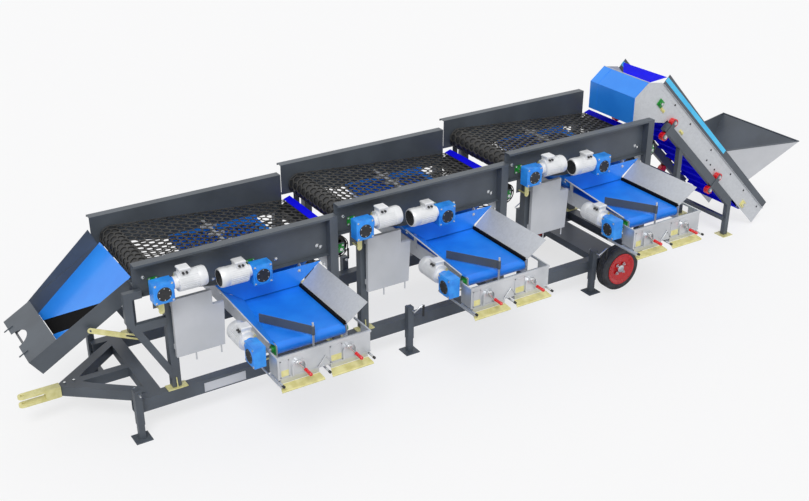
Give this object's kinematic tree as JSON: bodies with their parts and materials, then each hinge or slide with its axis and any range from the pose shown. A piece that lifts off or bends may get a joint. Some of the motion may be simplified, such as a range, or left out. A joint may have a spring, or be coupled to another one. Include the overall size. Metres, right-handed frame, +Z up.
{
  "type": "potato grader",
  "caption": "Towed potato grader: stepped sieving belt decks with cross conveyors and bagging heads, an inclined feed elevator with hopper, and a discharge chute.",
  "frame": {"origin": "on the ground, at the centre of the foot plate of the front left jack", "axes": "+X along the machine towards the feed hopper, +Y to the rear side, +Z up; the bagging side faces -Y"},
  "size_m": [11.4064, 3.196, 2.7233],
  "materials": {
    "painted_steel": "dark grey paint",
    "blue_sheet": "blue paint",
    "deep_blue_belt": "deep blue belting",
    "galvanised_sheet": "galvanised",
    "zinc_plated": "yellow zinc plated",
    "bright_steel": "machined",
    "red_paint": "red paint",
    "green_cast": "green paint",
    "black_rubber": "moulded rubber",
    "tyre_rubber": "moulded rubber",
    "gear_housing": "blue paint on cast aluminium",
    "light_panel": "light grey paint",
    "shaft_steel": "turned"
  },
  "bodies": {
    "machine": {"chassis_frame": "painted_steel", "tow_clevis": "zinc_plated", "axle": "painted_steel", "locking_pins": "bright_steel", "deck_1_frame": "painted_steel", "deck_2_frame": "painted_steel", "deck_3_frame": "painted_steel", "deck_1_mesh_belt": "black_rubber", "deck_2_mesh_belt": "black_rubber", "deck_3_mesh_belt": "black_rubber", "catch_hoppers": "blue_sheet", "side_panels": "light_panel", "gearmotors": "gear_housing", "flange_bearings": "green_cast", "cross_frames": "galvanised_sheet", "cross_belts": "deep_blue_belt", "bag_heads": "galvanised_sheet", "bag_lips": "zinc_plated", "elevator_cradle": "painted_steel", "elevator_trough": "galvanised_sheet", "elevator_hood": "blue_sheet", "elevator_belt": "deep_blue_belt", "feed_hopper": "painted_steel", "guide_shoes": "red_paint"},
    "front_wheel": {"front_rim": "red_paint", "front_tyre": "tyre_rubber"},
    "rear_wheel": {"rear_rim": "red_paint", "rear_tyre": "tyre_rubber"},
    "deck_1_drive": {"deck_1_drive_drum": "shaft_steel"},
    "deck_1_tail": {"deck_1_tail_drum": "shaft_steel"},
    "deck_1_agitator_shaft": {"deck_1_agitator": "painted_steel"},
    "cross_1_front": {"cross_1_drum": "shaft_steel"},
    "deck_2_drive": {"deck_2_drive_drum": "shaft_steel"},
    "deck_2_tail": {"deck_2_tail_drum": "shaft_steel"},
    "deck_2_agitator_shaft": {"deck_2_agitator": "painted_steel"},
    "cross_2_front": {"cross_2_drum": "shaft_steel"},
    "deck_3_drive": {"deck_3_drive_drum": "shaft_steel"},
    "deck_3_tail": {"deck_3_tail_drum": "shaft_steel"},
    "deck_3_agitator_shaft": {"deck_3_agitator": "painted_steel"},
    "cross_3_front": {"cross_3_drum": "shaft_steel"},
    "elevator_head": {"elevator_head_drum": "shaft_steel"},
    "elevator_tail": {"elevator_tail_drum": "shaft_steel"},
    "gate_1_arm": {"gate_1": "painted_steel"},
    "clamp_1_left": {"clamp_lever_1_left": "bright_steel"},
    "clamp_1_right": {"clamp_lever_1_right": "bright_steel"},
    "gate_2_arm": {"gate_2": "painted_steel"},
    "clamp_2_left": {"clamp_lever_2_left": "bright_steel"},
    "clamp_2_right": {"clamp_lever_2_right": "bright_steel"},
    "gate_3_arm": {"gate_3": "painted_steel"},
    "clamp_3_left": {"clamp_lever_3_left": "bright_steel"},
    "clamp_3_right": {"clamp_lever_3_right": "bright_steel"},
    "jack_front_left": {"jack_leg_front_left": "painted_steel"},
    "jack_front_middle": {"jack_leg_front_middle": "painted_steel"},
    "jack_front_right": {"jack_leg_front_right": "painted_steel"},
    "jack_rear_left": {"jack_leg_rear_left": "painted_steel"},
    "jack_rear_middle": {"jack_leg_rear_middle": "painted_steel"},
    "jack_rear_right": {"jack_leg_rear_right": "painted_steel"},
    "chute_body": {"chute": "painted_steel", "chute_liner": "blue_sheet"},
    "chute_stay": {"chute_prop": "zinc_plated"}
  },
  "joints": [
    {"name": "front_wheel_spin", "type": "hinge", "parent": "machine", "child": "front_wheel", "pos_m": [6.756, -0.08, 0.314], "axis": [0, 1, 0], "continuous": true},
    {"name": "rear_wheel_spin", "type": "hinge", "parent": "machine", "child": "rear_wheel", "pos_m": [6.756, 1.7, 0.314], "axis": [0, 1, 0], "continuous": true},
    {"name": "deck_1_drive_spin", "type": "hinge", "parent": "machine", "child": "deck_1_drive", "pos_m": [0.353, 0.81, 1.778], "axis": [0, 1, 0], "continuous": true},
    {"name": "deck_1_tail_spin", "type": "hinge", "parent": "machine", "child": "deck_1_tail", "pos_m": [2.591, 0.81, 1.585], "axis": [0, 1, 0], "continuous": true},
    {"name": "deck_1_agitator_spin", "type": "hinge", "parent": "machine", "child": "deck_1_agitator_shaft", "pos_m": [1.467, 0.81, 1.69], "axis": [0, 1, 0], "continuous": true},
    {"name": "cross_1_drum_spin", "type": "hinge", "parent": "machine", "child": "cross_1_front", "pos_m": [1.616, -0.94, 1.2346], "axis": [1, 0, 0], "continuous": true},
    {"name": "deck_2_drive_spin", "type": "hinge", "parent": "machine", "child": "deck_2_drive", "pos_m": [2.746, 0.81, 1.898], "axis": [0, 1, 0], "continuous": true},
    {"name": "deck_2_tail_spin", "type": "hinge", "parent": "machine", "child": "deck_2_tail", "pos_m": [4.984, 0.81, 1.705], "axis": [0, 1, 0], "continuous": true},
    {"name": "deck_2_agitator_spin", "type": "hinge", "parent": "machine", "child": "deck_2_agitator_shaft", "pos_m": [3.86, 0.81, 1.81], "axis": [0, 1, 0], "continuous": true},
    {"name": "cross_2_drum_spin", "type": "hinge", "parent": "machine", "child": "cross_2_front", "pos_m": [4.009, -0.94, 1.3546], "axis": [1, 0, 0], "continuous": true},
    {"name": "deck_3_drive_spin", "type": "hinge", "parent": "machine", "child": "deck_3_drive", "pos_m": [5.139, 0.81, 2.018], "axis": [0, 1, 0], "continuous": true},
    {"name": "deck_3_tail_spin", "type": "hinge", "parent": "machine", "child": "deck_3_tail", "pos_m": [7.377, 0.81, 1.825], "axis": [0, 1, 0], "continuous": true},
    {"name": "deck_3_agitator_spin", "type": "hinge", "parent": "machine", "child": "deck_3_agitator_shaft", "pos_m": [6.253, 0.81, 1.93], "axis": [0, 1, 0], "continuous": true},
    {"name": "cross_3_drum_spin", "type": "hinge", "parent": "machine", "child": "cross_3_front", "pos_m": [6.402, -0.94, 1.4746], "axis": [1, 0, 0], "continuous": true},
    {"name": "elevator_head_spin", "type": "hinge", "parent": "machine", "child": "elevator_head", "pos_m": [7.706, 0.81, 2.345], "axis": [0, 1, 0], "continuous": true},
    {"name": "elevator_tail_spin", "type": "hinge", "parent": "machine", "child": "elevator_tail", "pos_m": [9.64418, 0.81, 0.40682], "axis": [0, 1, 0], "continuous": true},
    {"name": "gate_1_swing", "type": "hinge", "parent": "machine", "child": "gate_1_arm", "pos_m": [1.616, -1.031, 1.32], "axis": [0, 0, 1], "range_deg": [-67, 0]},
    {"name": "clamp_1_left_swing", "type": "hinge", "parent": "machine", "child": "clamp_1_left", "pos_m": [1.3285, -1.246, 1.195], "axis": [1, 0, 0], "range_deg": [-60, 0]},
    {"name": "clamp_1_right_swing", "type": "hinge", "parent": "machine", "child": "clamp_1_right", "pos_m": [1.9235, -1.246, 1.195], "axis": [1, 0, 0], "range_deg": [-60, 0]},
    {"name": "gate_2_swing", "type": "hinge", "parent": "machine", "child": "gate_2_arm", "pos_m": [4.009, -1.031, 1.44], "axis": [0, 0, 1], "range_deg": [-67, 0]},
    {"name": "clamp_2_left_swing", "type": "hinge", "parent": "machine", "child": "clamp_2_left", "pos_m": [3.7215, -1.246, 1.315], "axis": [1, 0, 0], "range_deg": [-60, 0]},
    {"name": "clamp_2_right_swing", "type": "hinge", "parent": "machine", "child": "clamp_2_right", "pos_m": [4.3165, -1.246, 1.315], "axis": [1, 0, 0], "range_deg": [-60, 0]},
    {"name": "gate_3_swing", "type": "hinge", "parent": "machine", "child": "gate_3_arm", "pos_m": [6.402, -1.031, 1.56], "axis": [0, 0, 1], "range_deg": [-67, 0]},
    {"name": "clamp_3_left_swing", "type": "hinge", "parent": "machine", "child": "clamp_3_left", "pos_m": [6.1145, -1.246, 1.435], "axis": [1, 0, 0], "range_deg": [-60, 0]},
    {"name": "clamp_3_right_swing", "type": "hinge", "parent": "machine", "child": "clamp_3_right", "pos_m": [6.7095, -1.246, 1.435], "axis": [1, 0, 0], "range_deg": [-60, 0]},
    {"name": "jack_front_left_slide", "type": "slide", "parent": "machine", "child": "jack_front_left", "axis": [0, 0, 1], "range_m": [0, 0.12]},
    {"name": "jack_front_middle_slide", "type": "slide", "parent": "machine", "child": "jack_front_middle", "axis": [0, 0, 1], "range_m": [0, 0.12]},
    {"name": "jack_front_right_slide", "type": "slide", "parent": "machine", "child": "jack_front_right", "axis": [0, 0, 1], "range_m": [0, 0.12]},
    {"name": "jack_rear_left_slide", "type": "slide", "parent": "machine", "child": "jack_rear_left", "axis": [0, 0, 1], "range_m": [0, 0.12]},
    {"name": "jack_rear_middle_slide", "type": "slide", "parent": "machine", "child": "jack_rear_middle", "axis": [0, 0, 1], "range_m": [0, 0.12]},
    {"name": "jack_rear_right_slide", "type": "slide", "parent": "machine", "child": "jack_rear_right", "axis": [0, 0, 1], "range_m": [0, 0.12]},
    {"name": "chute_tilt", "type": "hinge", "parent": "machine", "child": "chute_body", "pos_m": [0.166, 0.81, 1.745], "axis": [0, 1, 0], "range_deg": [-12, 0]},
    {"name": "stay_turn", "type": "hinge", "parent": "chute_body", "child": "chute_stay", "pos_m": [-0.334, 0.246, 1.34], "axis": [0, 1, 0], "range_deg": [-1, 9]}
  ],
  "couplings": [
    {"joint": "deck_1_tail_spin", "follows": "deck_1_drive_spin", "ratio": 1},
    {"joint": "deck_2_tail_spin", "follows": "deck_2_drive_spin", "ratio": 1},
    {"joint": "deck_3_tail_spin", "follows": "deck_3_drive_spin", "ratio": 1},
    {"joint": "elevator_tail_spin", "follows": "elevator_head_spin", "ratio": 1},
    {"joint": "stay_turn", "follows": "chute_tilt", "ratio": -0.5293}
  ]
}
